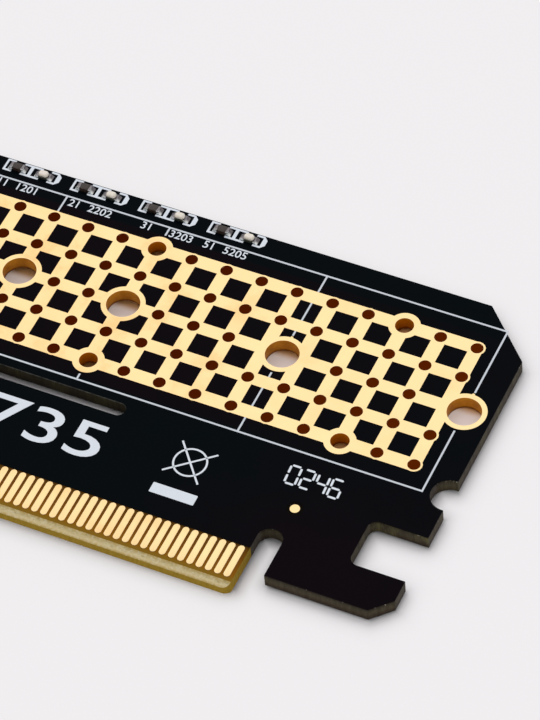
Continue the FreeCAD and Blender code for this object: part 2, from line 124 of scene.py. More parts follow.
def colour(name, description, default):
    """A setting that is a colour."""
    return bpy.props.FloatVectorProperty(
        name=name, description=description, default=default, subtype="COLOR", size=3)


class CardSizes(bpy.types.PropertyGroup):
    """Sizes that repeat over the card."""
    contact_pitch: length("Contact pitch", "Distance between neighbouring edge contacts", 1.0 * MM)
    contact_width: length("Contact width", "Width of one edge contact", 0.7 * MM)
    contacts_before_key: count(
        "Contacts before the key", "Contacts between the bracket and the key slot", 11)
    contacts_after_key: count("Contacts after the key", "Contacts on the long side of the key slot", 71)
    grid_pitch: length("Grid pitch", "Distance between the grid's crossings", 4.0 * MM)
    grid_columns: count("Grid columns", "Crossings along the card", 18)
    grid_rows: count("Grid rows", "Crossings across the card", 5)
    via_radius: length("Via radius", "Radius of a filled via", 0.668 * MM)
    via_pad_radius: length("Via pad radius", "Radius of the gold round a via at the grid's rim", 0.88 * MM)
    standoff_pad_radius: length(
        "Standoff pad radius", "Radius of the gold ring round a standoff hole", 2.32 * MM)
    heatsink_pad_radius: length(
        "Heat sink pad radius", "Radius of the gold ring round a heat sink hole", 1.66 * MM)
    chip_length: length("Chip length", "Length of a lamp or a resistor over its end caps", 1.6 * MM)
    chip_width: length("Chip width", "Width of a lamp or a resistor", 0.8 * MM)


class CardPrint(bpy.types.PropertyGroup):
    """Sizes of the white print."""
    ink_thickness: length("Ink thickness", "How far the print stands on the mask", 0.02 * MM, 6)
    line_width: length("Line width", "Width of the lines round the chip parts", 0.24 * MM)
    chip_numeral: length("Chip numeral height", "Height of the numbers below the chip parts", 0.98 * MM)
    large_numeral: length(
        "Large numeral height", "Height of the large numbers above the contacts", 4.5 * MM)
    segment_numeral: length("Segment numeral height", "Height of the seven-segment numbers", 2.25 * MM)


class CardColours(bpy.types.PropertyGroup):
    """Colours of the main finishes."""
    gold: colour("Gold", "Bare gold plate", (0.80, 0.612, 0.318))
    mask: colour("Mask", "Black solder mask", (0.0013, 0.0031, 0.0042))
    tinted_mask: colour(
        "Tinted mask", "Solder mask between the grid's bars and on the hook", (0.0046, 0.0024, 0.0040))
    ink: colour("Ink", "White print", (0.76, 0.81, 0.88))


class CardStage(bpy.types.PropertyGroup):
    """Camera, light and floor."""
    azimuth: angle("Azimuth", "Camera's direction round the card", 29.215)
    elevation: angle("Elevation", "Camera's height above the horizon", 50.448)
    roll: angle("Roll", "Camera's turn about its own axis", 5.722)
    distance: length("Distance", "Camera to the point it looks at", 0.3966, 4)
    lens: bpy.props.FloatProperty(name="Lens", description="Focal length in millimetres", default=196.165)
    aim: bpy.props.FloatVectorProperty(
        name="Aim", description="Point on the component face at the middle of the picture", size=2,
        default=(64.156 * MM, 27.392 * MM), subtype="XYZ", precision=5)
    key_power: bpy.props.FloatProperty(
        name="Key power", description="Soft light behind the card", default=2.3, unit="POWER")
    sky: bpy.props.FloatProperty(name="Sky", description="Even light from all round", default=0.80)
    gap: length("Gap", "Floor's distance below the board's free end", 0.2 * MM)
    lift: bpy.props.FloatProperty(
        name="Lift", description="Share of the floor's own tone away from the card", default=0.85)
    floor_colour: colour("Floor", "Colour of the floor", (0.895, 0.880, 0.892))
    backdrop: colour("Backdrop", "Tone of the floor away from the card", (0.880, 0.861, 0.874))


def card_sizes():
    return bpy.context.scene.card_sizes


def card_print():
    return bpy.context.scene.card_print


def card_colours():
    return bpy.context.scene.card_colours


# ---------------------------------------------------------------- material kit

FACTOR, COLOUR_A, COLOUR_B, COLOUR_OUT = 0, 6, 7, 2  # sockets of a Mix node that mixes colours
WAVE_PERIOD = 0.314  # distance between a wave texture's bands at a scale of 1


class Value:
    """A node's output that takes part in Python expressions."""

    def __init__(self, finish, socket):
        self.finish = finish
        self.socket = socket

    def _math(self, operation, *values):
        return self.finish.node("ShaderNodeMath", {"operation": operation}, dict(enumerate(values)))

    def __add__(self, other):
        return self._math("ADD", self, other)

    def __radd__(self, other):
        return self._math("ADD", other, self)

    def __sub__(self, other):
        return self._math("SUBTRACT", self, other)

    def __rsub__(self, other):
        return self._math("SUBTRACT", other, self)

    def __mul__(self, other):
        return self._math("MULTIPLY", self, other)

    def __truediv__(self, number):
        return self * (1.0 / number)

    def __gt__(self, other):
        return self._math("GREATER_THAN", self, other)

    def __lt__(self, other):
        return self._math("LESS_THAN", self, other)

    def size(self):
        return self._math("ABSOLUTE", self)

    def most(self, other):
        return self._math("MAXIMUM", self, other)

    def least(self, other):
        return self._math("MINIMUM", self, other)

    def root(self):
        return self._math("SQRT", self)


class Finish:
    """A material under construction, round one shader."""

    def __init__(self, name, **shader):
        self.material = bpy.data.materials.new(name)
        self.material.use_nodes = True
        self.tree = self.material.node_tree
        self.shader = self.tree.nodes["Principled BSDF"]
        self.coordinates = self.node("ShaderNodeTexCoord", {}, {}, "Object")
        self.set(**shader)

    def node(self, kind, settings, sockets, output=0):
        """Any node: its settings first, then the values or links of its sockets."""
        made = self.tree.nodes.new(kind)
        for name, value in settings.items():
            if name == "stops":
                self._stops(made.color_ramp, value)
            else:
                setattr(made, name, value)
        for name, value in sockets.items():
            self._feed(made.inputs[name], value)
        return Value(self, made.outputs[output])

    @staticmethod
    def _stops(ramp, stops):
        while len(ramp.elements) < len(stops):
            ramp.elements.new(0.5)
        for element, (place, tone) in zip(ramp.elements, stops):
            element.position = place
            element.color = (*(tone if isinstance(tone, tuple) else (tone,) * 3), 1.0)

    def _feed(self, socket, value):
        if isinstance(value, Value):
            self.tree.links.new(value.socket, socket)
        elif hasattr(socket.default_value, "__len__") and (len(socket.default_value), len(value)) == (4, 3):
            socket.default_value = (*value, 1.0)
        else:
            socket.default_value = value

    def set(self, **sockets):
        """Feeds the shader; a name's underscores stand for spaces."""
        for name, value in sockets.items():
            self._feed(self.shader.inputs[name.replace("_", " ")], value)

    def stretched(self, x, y, z):
        """Object coordinates, stretched along the axes."""
        return self.node("ShaderNodeMapping", {}, {"Vector": self.coordinates, "Scale": (x, y, z)})

    def along(self, axis):
        """One object coordinate, in metres."""
        return self.node("ShaderNodeSeparateXYZ", {}, {0: self.coordinates}, axis)

    def facing(self, axis):
        """One part of the surface's direction."""
        normal = self.node("ShaderNodeNewGeometry", {}, {}, "Normal")
        return self.node("ShaderNodeSeparateXYZ", {}, {0: normal}, axis)

    def noise(self, grain, detail=3.0, roughness=0.5, vector=None):
        """Cloudy noise whose grain is a size in metres."""
        sockets = {"Vector": vector or self.coordinates, "Scale": 1.0 / grain, "Detail": detail,
                   "Roughness": roughness}
        return self.node("ShaderNodeTexNoise", {}, sockets)

    def stripes(self, width, direction, distortion):
        """Bands across one direction."""
        settings = {"wave_type": "BANDS", "bands_direction": direction}
        sockets = {"Vector": self.coordinates, "Scale": WAVE_PERIOD / width, "Distortion": distortion}
        return self.node("ShaderNodeTexWave", settings, sockets)

    def mix(self, share, first, second, blend="MIX"):
        """A blend of two colours."""
        return self.node("ShaderNodeMix", {"data_type": "RGBA", "blend_type": blend},
                         {FACTOR: share, COLOUR_A: first, COLOUR_B: second}, COLOUR_OUT)

    def ramp(self, share, *stops):
        """A ramp through (place, tone) stops; a tone is a colour, or one number for a grey."""
        return self.node("ShaderNodeValToRGB", {"stops": stops}, {0: share})

    def fade(self, share, start, end):
        """Black up to one place and white from another."""
        return self.ramp(share, (start, 0), (end, 1))

    def bump(self, height, depth):
        """Relief of a depth in metres."""
        sockets = {"Height": height, "Distance": depth, "Strength": 1.0}
        self.set(Normal=self.node("ShaderNodeBump", {}, sockets))


def toned(tone, *shares):
    """A colour with its channels multiplied, by a share each or by one for all."""
    if len(shares) == 1:
        shares *= 3
    return tuple(channel * share for channel, share in zip(tone, shares))


# ---------------------------------------------------------------- gold, mask and print

def gold_plate():
    """Thin gold over copper: pale, satin, with faint clouds and a few warm stains."""
    gold = Finish("gold_plate", Metallic=1.0)
    pale = tuple(card_colours().gold)
    warm = toned(pale, 1.0, 0.90, 0.82)
    stained = toned(pale, 0.98, 0.76, 0.60)
    clouds = gold.noise(5 * MM, 4.0, 0.6)
    towards_bracket = gold.ramp(gold.along("X") / CARD_SPAN, (0.30, 1), (0.80, 0.12))
    stain = gold.fade(gold.noise(5 * MM, 5.0, 0.66), 0.52, 0.68)
    blush = gold.fade(clouds, 0.35, 0.65)
    base = gold.mix(towards_bracket * (blush * 0.6 + 0.4), pale, warm)
    gold.set(Base_Color=gold.mix(towards_bracket * stain, base, stained))
    grain = gold.noise(0.06 * MM, 2.0)
    gold.set(Roughness=0.34 + clouds * 0.10 + grain * 0.05)
    gold.bump(grain + gold.noise(0.9 * MM) * 2.0, 0.0012 * MM)
    return gold.material


def lining_plate(name, bright, dull):
    """Gold inside a drilled hole, with the drill's rings, duller and redder than on the face, and with
    painted shade that darkens its wall towards the bottom of the hole.
    """
    lining = Finish(name, Specular_IOR_Level=0.1)
    rings = lining.noise(0.16 * MM, 3.0, 0.6, lining.stretched(0.3, 0.3, 1.0))
    clouds = lining.fade(lining.noise(1.1 * MM, 3.0), 0.35, 0.65)
    wall = lining.mix(rings * 0.5 + clouds * 0.5, bright, dull)
    # painted shade: the wall is darkened towards the bottom of the hole
    depth = lining.ramp(lining.along("Z") / CORE + 0.5, (0.02, 1), (0.20, 0))
    wall = lining.mix(depth, wall, toned(dull, 0.45))
    flat = lining.facing("Z").size() > 0.5
    lining.set(Base_Color=lining.mix(flat, wall, tuple(card_colours().gold)), Metallic=flat)
    lining.set(Roughness=0.30 + rings * 0.2)
    lining.bump(rings, 0.006 * MM)
    return lining.material


def wide_lining():
    return lining_plate("wide_hole_lining_painted_shade", (0.66, 0.275, 0.016), (0.36, 0.120, 0.003))


def narrow_lining():
    return lining_plate("narrow_hole_lining_painted_shade", (0.52, 0.165, 0.001), (0.43, 0.115, 0.0))


def solder_mask():
    """Black mask: nearly smooth, with the faint weave of the laminate under it."""
    weave_pitch, hook_reach = 0.42 * MM, 20 * MM
    mask = Finish("solder_mask", Specular_IOR_Level=0.01)
    x = mask.along("X") / CARD_SPAN
    y = mask.along("Y")
    low = y < BELOW_OUTLINE
    grid = (y < ABOVE_GRID) - low
    clouds = mask.fade(mask.noise(9 * MM, 3.0, 0.6), 0.35, 0.65)
    towards_hook = mask.ramp(y / hook_reach, (0.42, 1), (0.70, 0.35))
    share = low * towards_hook * mask.fade(x, 0.66, 0.84)
    share = share + grid * mask.ramp(x, (0.60, 0.9), (0.92, 0.25))
    tones = tuple(card_colours().mask), tuple(card_colours().tinted_mask)
    mask.set(Base_Color=mask.mix(share * 0.8 + clouds * 0.2, *tones))
    weave = mask.stripes(weave_pitch, "X", 0.6) + mask.stripes(weave_pitch, "Y", 0.6)
    peel = mask.noise(0.25 * MM, 3.0)
    mask.set(Roughness=0.30 + peel * 0.12)
    mask.bump(weave * 0.35 + peel, 0.0025 * MM)
    return mask.material


def white_ink(name="white_ink", share=1.0):
    """White print, slightly blue and uneven in cover; a share under one is thinner print."""
    ink = Finish(name, Roughness=0.55, Specular_IOR_Level=0.3)
    cover = ink.noise(0.22 * MM, 4.0, 0.7)
    white = toned(card_colours().ink, share)
    ink.set(Base_Color=ink.mix(cover, white, toned(white, 0.86)))
    ink.bump(cover, 0.004 * MM)
    return ink.material


def via_resin():
    """Dark red-brown resin that fills the vias."""
    left, right, shadow = (0.066, 0.0078, 0.0001), (0.112, 0.0160, 0.0001), (0.052, 0.0060, 0.0001)
    resin = Finish("via_resin", Specular_IOR_Level=0.0)
    cloud = resin.noise(0.8 * MM, 3.0)
    base = resin.mix(resin.fade(resin.along("X") / CARD_SPAN, 0.60, 0.92), left, right)
    resin.set(Base_Color=resin.mix(cloud * 0.5, base, shadow))
    resin.set(Roughness=0.45 + cloud * 0.2)
    resin.bump(resin.noise(0.15 * MM), 0.004 * MM)
    return resin.material


# ---------------------------------------------------------------- laminate

# Ramps through the board's thickness, from its back face to its component face
DULL_EDGE = ((0.0, (0.030, 0.022, 0.015)), (0.2, (0.034, 0.025, 0.017)), (0.45, (0.048, 0.039, 0.025)),
             (0.75, (0.044, 0.037, 0.024)), (1.0, (0.016, 0.012, 0.008)))
CLEAR_EDGE = ((0.0, (0.050, 0.038, 0.028)), (0.2, (0.058, 0.043, 0.031)), (0.45, (0.080, 0.066, 0.043)),
              (0.75, (0.072, 0.061, 0.042)), (1.0, (0.030, 0.024, 0.016)))
# Ramps up the tongue: its bare face from foot to mask, and its bevel from foot to face
AMBER_FACE = ((0.19, (0.210, 0.116, 0.010)), (0.28, (0.232, 0.090, 0.004)), (0.57, (0.170, 0.058, 0.003)),
              (0.80, (0.122, 0.045, 0.002)), (0.93, (0.085, 0.033, 0.001)), (0.97, (0.044, 0.017, 0.0)),
              (1.0, (0.020, 0.009, 0.0)))
PALE_BEVEL = ((0.05, (0.40, 0.285, 0.095)), (0.18, (0.53, 0.40, 0.185)), (0.35, (0.59, 0.475, 0.25)),
              (0.55, (0.53, 0.43, 0.225)), (0.75, (0.46, 0.36, 0.165)), (0.95, (0.41, 0.29, 0.10)))
# Pairs of tones that patches of glass and resin mix
END_WALL = ((0.064, 0.056, 0.050), (0.100, 0.088, 0.078))
FRAYED_RIM = ((0.045, 0.045, 0.040), (0.145, 0.145, 0.130))
TONGUE_WALL = ((0.255, 0.160, 0.016), (0.335, 0.215, 0.030))
OLIVE_STAIN = (0.135, 0.125, 0.052)
BROKEN_GLASS = (0.34, 0.32, 0.27)
# painted shade: a near-black tone for the wall inside the narrow slit
SLIT_WALL_SHADE = (0.012, 0.010, 0.006)
AMBER_CLOUD = (0.30, 0.13, 0.02)
BEVEL_DASH = (0.20, 0.17, 0.075)
BEVEL_GRAIN = (0.72, 0.66, 0.46)
COVERED_FACE = (0.004, 0.003, 0.002)
FLAT, SLOPING, END_ON = 0.985, 0.4, 0.9  # how far a surface faces along an axis
RIM_START = 0.86  # share of the thickness above which the rim is frayed


def milled_edge(board, level, patches):
    """The board's rough wall, with stains, broken glass at its rim, and painted shade that darkens it
    inside the slit.
    """
    x, y = board.along("X"), board.along("Y")
    edge = board.mix(patches, board.ramp(level, *DULL_EDGE), board.ramp(level, *CLEAR_EDGE))
    olive = board.fade(board.noise(3.5 * MM, 2.0), 0.48, 0.62)
    edge = board.mix(olive * patches * (y > TONGUE_TOP) * 0.6, edge, OLIVE_STAIN)
    end = board.facing("X").size() > END_ON
    edge = board.mix(end * 0.5, edge, board.mix(patches, *END_WALL))
    chips = board.fade(board.noise(0.30 * MM, 2.0, 0.5), 0.66, 0.70)
    edge = board.mix(chips * (level > RIM_START), edge, BROKEN_GLASS)
    slit = (y > SLIT_LOW) * (y < SLIT_HIGH) * (x < SLIT_END)
    rim = board.fade(level, RIM_START, 0.95)
    # painted shade: the wall inside the slit is mixed towards a near-black tone
    return board.mix(slit * rim, board.mix(slit * 0.55, edge, SLIT_WALL_SHADE), board.mix(patches, *FRAYED_RIM))


def bare_face(board, share):
    """The tongue's uncovered face between the contacts; the share rises from its foot to the mask."""
    face = board.ramp(share, *AMBER_FACE)
    return board.mix(board.noise(1.6 * MM, 3.0) * 0.5, face, board.mix(0.3, face, AMBER_CLOUD))


def bevel_band(board, rise):
    """The tongue's bevel, with the cut ends of the glass; the rise runs from its foot to the face."""
    dashes = board.fade(board.noise(0.24 * MM, 4.0, 0.7, board.stretched(0.45, 1.2, 1.0)), 0.52, 0.66)
    grain = board.fade(board.noise(0.26 * MM, 3.0, 0.6, board.stretched(0.8, 1.0, 1.0)), 0.46, 0.62)
    upper = board.ramp(rise, (0.30, 0.15), (0.60, 1))
    band = board.mix(dashes * upper * 0.55, board.ramp(rise, *PALE_BEVEL), BEVEL_DASH)
    return board.mix(grain * 0.35, band, BEVEL_GRAIN)


def laminate():
    """Milled glass laminate: dark olive edges, amber where no mask covers it, and a pale bevel."""
    board = Finish("laminate", Specular_IOR_Level=0.015)
    contacts_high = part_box("front_edge_contacts")[1]
    bare_top = contacts_high.y + MASK_TO_CONTACTS
    x, y, z = (board.along(axis) for axis in "XYZ")
    up = board.facing("Z").size()
    bare = (y < bare_top) * (x < contacts_high.x + TONGUE_MARGIN)
    fibre = board.noise(0.14 * MM, 4.0, 0.65, board.stretched(1.0, 1.0, 0.25))
    marks = board.noise(0.45 * MM, 3.0, 0.6, board.stretched(1.0, 1.0, 0.2))
    patches = board.fade(fibre * 0.45 + marks * 0.55, 0.38, 0.62)
    face = (up > FLAT) * bare
    bevel = (up > SLOPING) * (up < FLAT) * bare
    skin = board.mix(up > FLAT, milled_edge(board, z / CORE + 0.5, patches), COVERED_FACE)
    skin = board.mix(bare, skin, board.mix(patches, *TONGUE_WALL))
    skin = board.mix(face, skin, bare_face(board, y / bare_top))
    skin = board.mix(bevel, skin, bevel_band(board, y / BEVEL_HEIGHT))
    board.set(Base_Color=skin, Roughness=0.62 - face * 0.25)
    board.bump(fibre * 0.6 + marks, 0.02 * MM)
    return board.material


# ---------------------------------------------------------------- metal, resin and mouldings

def tin():
    """Bright tin and solder."""
    metal = Finish("tin", Metallic=1.0)
    cloud = metal.noise(0.25 * MM, 4.0, 0.6)
    metal.set(Base_Color=metal.mix(cloud, (0.60, 0.59, 0.58), (0.34, 0.33, 0.32)))
    metal.set(Roughness=0.24 + cloud * 0.25)
    metal.bump(cloud, 0.01 * MM)
    return metal.material


def small_tin():
    """Tin on the smallest parts: dull, but with a bright painted glint where it slopes down to the board in
    front of the chips.
    """
    bright, dull, dark = (0.80, 0.82, 0.80), (0.23, 0.21, 0.22), (0.09, 0.08, 0.085)
    metal = Finish("small_part_tin_painted_glint", Metallic=1.0)
    cloud = metal.noise(0.20 * MM, 3.0, 0.6)
    lamp_axis = pair_centres("lamp_terminals")[0][1]
    # painted glint: faces that slope down in front of the chips' axis get a bright tone
    front = metal.ramp((metal.along("Y") - lamp_axis) / MM + 0.5, (0.22, 1), (0.50, 0))
    painted_glint = (metal.facing("Z") < 0.93) * front
    metal.set(Base_Color=metal.mix(painted_glint, metal.mix(cloud, dull, dark), bright))
    metal.set(Roughness=0.22 + cloud * 0.2)
    metal.bump(cloud, 0.01 * MM)
    return metal.material


def speckled(name, base, fleck, grain, roughness, **shader):
    """A fired or moulded body with fine flecks."""
    body = Finish(name, **shader)
    flecks = body.fade(body.noise(grain, 4.0, 0.7), 0.45, 0.72)
    body.set(Base_Color=body.mix(flecks, base, fleck))
    body.set(Roughness=body.noise(grain * 2) * 0.2 + roughness)
    body.bump(body.noise(grain, 3.0), grain * 0.06)
    return body.material


def lamp_carrier():
    return speckled("lamp_carrier", (0.016, 0.020, 0.014), (0.05, 0.06, 0.04), 0.08 * MM, 0.35)


def resistor_glaze():
    """Brown-black glaze on the resistors."""
    return speckled("resistor_glaze", (0.020, 0.012, 0.008), (0.060, 0.036, 0.028), 0.16 * MM, 0.30,
                    Specular_IOR_Level=0.36)


def fired_ceramic():
    return speckled("fired_ceramic", (0.36, 0.25, 0.15), (0.27, 0.18, 0.10), 0.12 * MM, 0.45)


def socket_moulding():
    return speckled("socket_moulding", (0.012, 0.012, 0.013), (0.028, 0.028, 0.030), 0.10 * MM, 0.42)


def rolled_sheet(name, base, worn, stretch):
    """Plated steel sheet with rolling marks along the axis that is stretched least."""
    sheet = Finish(name, Metallic=1.0)
    marks = sheet.noise(0.25 * MM, 5.0, 0.65, sheet.stretched(*stretch))
    cloud = sheet.noise(9 * MM, 4.0, 0.6)
    sheet.set(Base_Color=sheet.mix(cloud, base, worn))
    sheet.set(Roughness=0.26 + marks * 0.16 + cloud * 0.08)
    sheet.bump(marks, 0.004 * MM)
    return sheet.material


def zinc_sheet():
    return rolled_sheet("zinc_sheet", (0.66, 0.67, 0.68), (0.56, 0.57, 0.58), (1, 0.04, 1))


def nickel():
    return rolled_sheet("nickel", (0.72, 0.70, 0.67), (0.62, 0.60, 0.58), (0.04, 1, 1))


def lamp_resin():
    """Milky resin of the lamps' lenses, yellower where the phosphor sits."""
    lens = Finish("lamp_resin", Coat_Weight=0.6, Coat_Roughness=0.08, Subsurface_Weight=0.25,
                  Subsurface_Radius=(0.4 * MM, 0.4 * MM, 0.3 * MM), Subsurface_Scale=1.0)
    cloud = lens.noise(0.45 * MM, 3.0, 0.6)
    lens.set(Base_Color=lens.mix(cloud, (0.82, 0.74, 0.66), (0.66, 0.62, 0.52)))
    lens.set(Roughness=0.18 + cloud * 0.15)
    lens.bump(cloud, 0.02 * MM)
    return lens.material


def thin_ink():
    return white_ink("thin_white_ink", 0.84)


FINISHES = {
    "circuit_board": laminate,
    "front_solder_mask": solder_mask,
    "back_solder_mask": solder_mask,
    "thermal_grid": gold_plate,
    "alignment_mark": gold_plate,
    "standoff_hole_linings": wide_lining,
    "heatsink_hole_linings": narrow_lining,
    "drive_outline_print": thin_ink,
    "lamp_bases": lamp_carrier,
    "lamp_terminals": small_tin,
    "lamp_resistor_bodies": resistor_glaze,
    "lamp_resistor_caps": small_tin,
    "capacitor_bodies": fired_ceramic,
    "capacitor_caps": tin,
    "socket_housing": socket_moulding,
    "socket_upper_contacts": gold_plate,
    "socket_lower_contacts": gold_plate,
    "socket_hold_downs": tin,
    "mounting_bracket": zinc_sheet,
    "bracket_screws": nickel,
}
made_materials = {}


def finish(maker):
    """The material that a function makes, made once."""
    if maker not in made_materials:
        made_materials[maker] = maker()
    return made_materials[maker]


# ---------------------------------------------------------------- modelling helpers

def deselect():
    bpy.ops.object.select_all(action="DESELECT")


def activate(piece):
    """Makes one object the only selected one."""
    deselect()
    piece.select_set(True)
    bpy.context.view_layer.objects.active = piece


def bake_place(piece):
    """Puts the object at the origin, with its place in its mesh."""
    activate(piece)
    bpy.ops.object.transform_apply(location=True, rotation=True, scale=True)
    return piece


def block(name, low, high):
    """A box between two corners, as a start for a piece."""
    deselect()
    centre = (Vector(low) + Vector(high)) / 2
    bpy.ops.mesh.primitive_cube_add(size=1, location=centre, scale=Vector(high) - Vector(low))
    piece = bpy.context.object
    piece.name = name
    return bake_place(piece)


def pick(piece, mode, test):
    """Enters edit mode with just the vertices, edges or faces selected that pass a test."""
    activate(piece)
    bpy.ops.object.mode_set(mode="EDIT")
    bpy.ops.mesh.select_mode(type=mode)
    bpy.ops.mesh.select_all(action="DESELECT")
    net = bmesh.from_edit_mesh(piece.data)
    chosen = {"VERT": net.verts, "EDGE": net.edges, "FACE": net.faces}[mode]
    for element in chosen:
        if test(element):
            element.select_set(True)
    net.select_flush_mode()
    bmesh.update_edit_mesh(piece.data)


def leave():
    bpy.ops.object.mode_set(mode="OBJECT")


def middle(element):
    """Centre of an edge or a face."""
    return sum((v.co for v in element.verts), Vector()) / len(element.verts)


def upright(edge):
    """Whether an edge stands on the board."""
    return abs((edge.verts[0].co - edge.verts[1].co).normalized().z) > 0.9


def bevel_edges(piece, test, width, segments):
    """Rounds the edges that pass a test."""
    pick(piece, "EDGE", test)
    bpy.ops.mesh.bevel(offset=width, offset_type="OFFSET", segments=segments, profile=0.5,
                       clamp_overlap=True)
    leave()
    return piece


def extrude(x=0.0, y=0.0, z=0.0):
    """Draws what is selected out by a step."""
    bpy.ops.mesh.extrude_region_move(TRANSFORM_OT_translate={"value": (x, y, z)})


def copy_of(piece, name, shift=(0, 0, 0)):
    """A copy with a mesh of its own, shifted in its mesh."""
    copy = piece.copy()
    copy.data = piece.data.copy()
    copy.name = name
    bpy.context.scene.collection.objects.link(copy)
    copy.data.transform(Matrix.Translation(shift))
    return copy


def joined(name, parts):
    """One object from several."""
    deselect()
    for part in parts:
        part.select_set(True)
    bpy.context.view_layer.objects.active = parts[0]
    bpy.ops.object.join()
    piece = bpy.context.object
    piece.name = name
    return piece


def repeated(name, pattern, shifts):
    """Copies of a pattern at each shift, joined; the pattern itself goes."""
    parts = [copy_of(pattern, name + "_part", shift) for shift in shifts]
    bpy.data.objects.remove(pattern)
    return joined(name, parts)


def smooth(piece, degrees):
    """Shades a piece smooth, but for its sharper edges."""
    activate(piece)
    bpy.ops.object.shade_smooth_by_angle(angle=math.radians(degrees))
    return piece


def settle(piece, maker, slot, *nodes):
    """Gives a finished piece its material and its body, and hides the nodes it stands for; the slot is not
    used.
    """
    piece.data.materials.clear()
    piece.data.materials.append(finish(maker))
    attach(piece, BODY)
    if nodes:
        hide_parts(*nodes)


def softened(node, width, slot, maker=None, segments=2, corners=0.0):
    """A copy of a rigid node with its sharp edges rounded, which stands for the node."""
    piece = copy_of(frame["nodes"][node], node.replace("_", "-"))
    piece.parent = None
    for key in list(piece.keys()):
        del piece[key]
    activate(piece)
    bpy.ops.object.mode_set(mode="EDIT")
    bpy.ops.mesh.select_all(action="SELECT")
    bpy.ops.mesh.remove_doubles(threshold=0.001 * MM)
    bpy.ops.mesh.dissolve_limited(angle_limit=math.radians(1))
    leave()
    if corners:
        bevel_edges(piece, upright, corners, 5)
    bevel = piece.modifiers.new("Rounded edges", "BEVEL")
    bevel.width = width
    bevel.segments = segments
    bevel.limit_method = "ANGLE"
    bevel.angle_limit = math.radians(40)
    bpy.ops.object.modifier_apply(modifier=bevel.name)
    settle(smooth(piece, 30), maker or FINISHES[node], slot, node)


# ---------------------------------------------------------------- pieces

class CARD_OT_finishes(bpy.types.Operator):
    """Gives every node of the frame its finish"""
    bl_idname = "card.finishes"
    bl_label = "Finishes"

    def execute(self, context):
        for name, node in frame["nodes"].items():
            if name in FINISHES:
                node.data.materials.clear()
                node.data.materials.append(finish(FINISHES[name]))
        return {"FINISHED"}


class CARD_OT_contacts(bpy.types.Operator):
    """Edge contacts on both faces, with round ends and softened rims"""
    bl_idname = "card.contacts"
    bl_label = "Edge contacts"

    ROUND_END = 0.98  # radius of an end, as a share of half the contact's width
    SOFT_RIM = 0.45  # width of the softened rim, as a share of the contact's thickness

    def execute(self, context):
        for node, outward in (("front_edge_contacts", 1), ("back_edge_contacts", -1)):
            self.row(node, outward)
        return {"FINISHED"}

    def row(self, node, outward):
        sizes = card_sizes()
        low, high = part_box(node)
        half = sizes.contact_width / 2
        pad = block("contact", (low.x, low.y, low.z), (low.x + 2 * half, high.y, high.z))
        bevel_edges(pad, upright, half * self.ROUND_END, 7)
        outer = high.z if outward > 0 else low.z

        def on_rim(edge):
            return abs(middle(edge).z - outer) < TOUCH and not upright(edge)

        bevel_edges(pad, on_rim, (high.z - low.z) * self.SOFT_RIM, 2)
        last = high.x - low.x - 2 * half
        shifts = [(n * sizes.contact_pitch, 0, 0) for n in range(sizes.contacts_before_key)]
        shifts += [(last - n * sizes.contact_pitch, 0, 0) for n in range(sizes.contacts_after_key)]
        piece = smooth(repeated(node.replace("_", "-"), pad, shifts), 40)
        settle(piece, gold_plate, "gold", node)


class CARD_OT_vias(bpy.types.Operator):
    """Resin-filled vias at the crossings of the gold grid"""
    bl_idname = "card.vias"
    bl_label = "Vias"

    SIDES = 24
    PROUD = 0.004 * MM  # height of the rim over the grid
    DISH = ((0.10, 0.006 * MM), (0.22, 0.014 * MM), (0.35, 0.006 * MM))  # rings: share of the radius, drop
    SKIRT = 0.006 * MM

    def centres(self):
        """Crossings of the grid that no larger ring takes."""
        sizes = card_sizes()
        low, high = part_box("thermal_grid")
        first = low.x + sizes.via_pad_radius
        axis = (low.y + high.y) / 2
        rings = (("standoff_holes_short", sizes.standoff_pad_radius),
                 ("standoff_holes_long", sizes.standoff_pad_radius),
                 ("heatsink_corner_holes", sizes.heatsink_pad_radius),
                 ("heatsink_middle_holes", sizes.heatsink_pad_radius))
        taken = [(x, y, radius) for name, radius in rings for x, y in pattern_holes(name)]
        found = []
        for column in range(sizes.grid_columns):
            for row in range(sizes.grid_rows):
                x = first + column * sizes.grid_pitch
                y = axis + (row - (sizes.grid_rows - 1) / 2) * sizes.grid_pitch
                if all(math.hypot(x - a, y - b) > radius + sizes.via_radius for a, b, radius in taken):
                    found.append((x, y, 0))
        return found

    def execute(self, context):
        radius = card_sizes().via_radius
        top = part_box("thermal_grid")[1].z
        deselect()
        bpy.ops.mesh.primitive_circle_add(vertices=self.SIDES, radius=radius, fill_type="NGON",
                                          location=(0, 0, top + self.PROUD))
        dish = bake_place(bpy.context.object)
        pick(dish, "FACE", lambda face: True)
        for share, drop in self.DISH:
            bpy.ops.mesh.inset(thickness=radius * share, depth=-drop)
        leave()
        pick(dish, "EDGE", lambda edge: edge.is_boundary)
        extrude(z=-self.SKIRT)
        leave()
        settle(smooth(repeated("via-fills", dish, self.centres()), 60), via_resin, "laminate")
        return {"FINISHED"}


